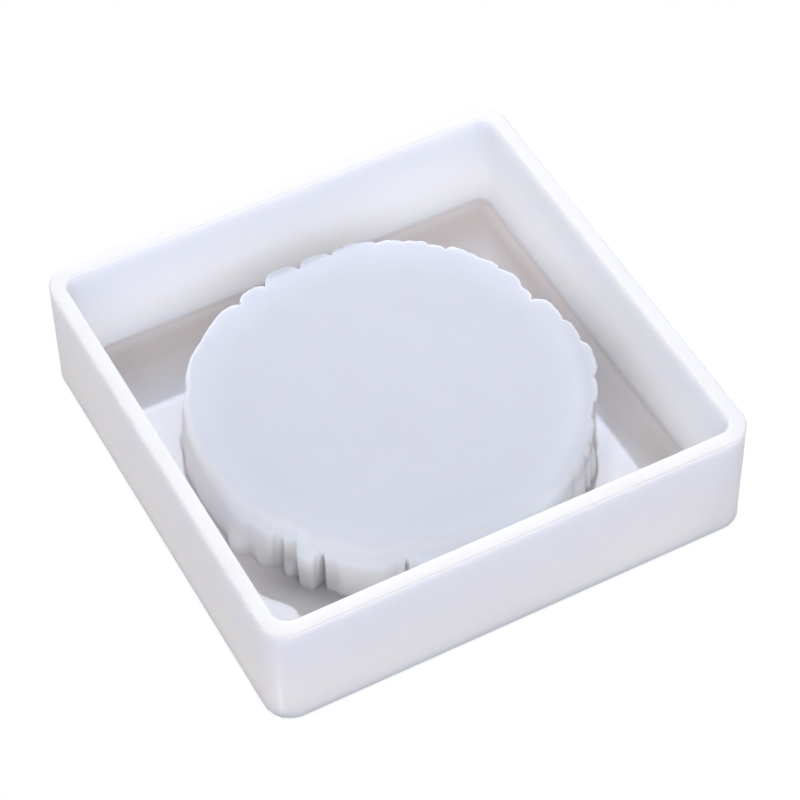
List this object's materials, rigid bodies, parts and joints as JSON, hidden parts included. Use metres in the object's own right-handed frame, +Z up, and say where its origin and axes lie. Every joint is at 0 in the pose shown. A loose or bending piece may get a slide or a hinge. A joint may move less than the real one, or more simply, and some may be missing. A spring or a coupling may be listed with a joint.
{
  "type": "resin casting mould",
  "caption": "Open square silicone mould with a raised round core that has a rough bark-like edge, for casting a square block with a round recess.",
  "frame": {"origin": "centre of the flat underside, on the surface that the mould rests on", "axes": "+Z up out of the open mouth; X and Y square to the sides of the mould"},
  "size_m": [0.128, 0.128, 0.0325],
  "materials": {
    "silicone": "satin"
  },
  "bodies": {
    "root": {"floor_sheet": "silicone", "perimeter_wall": "silicone", "core_skirt": "silicone", "core_cap": "silicone"}
  },
  "joints": []
}
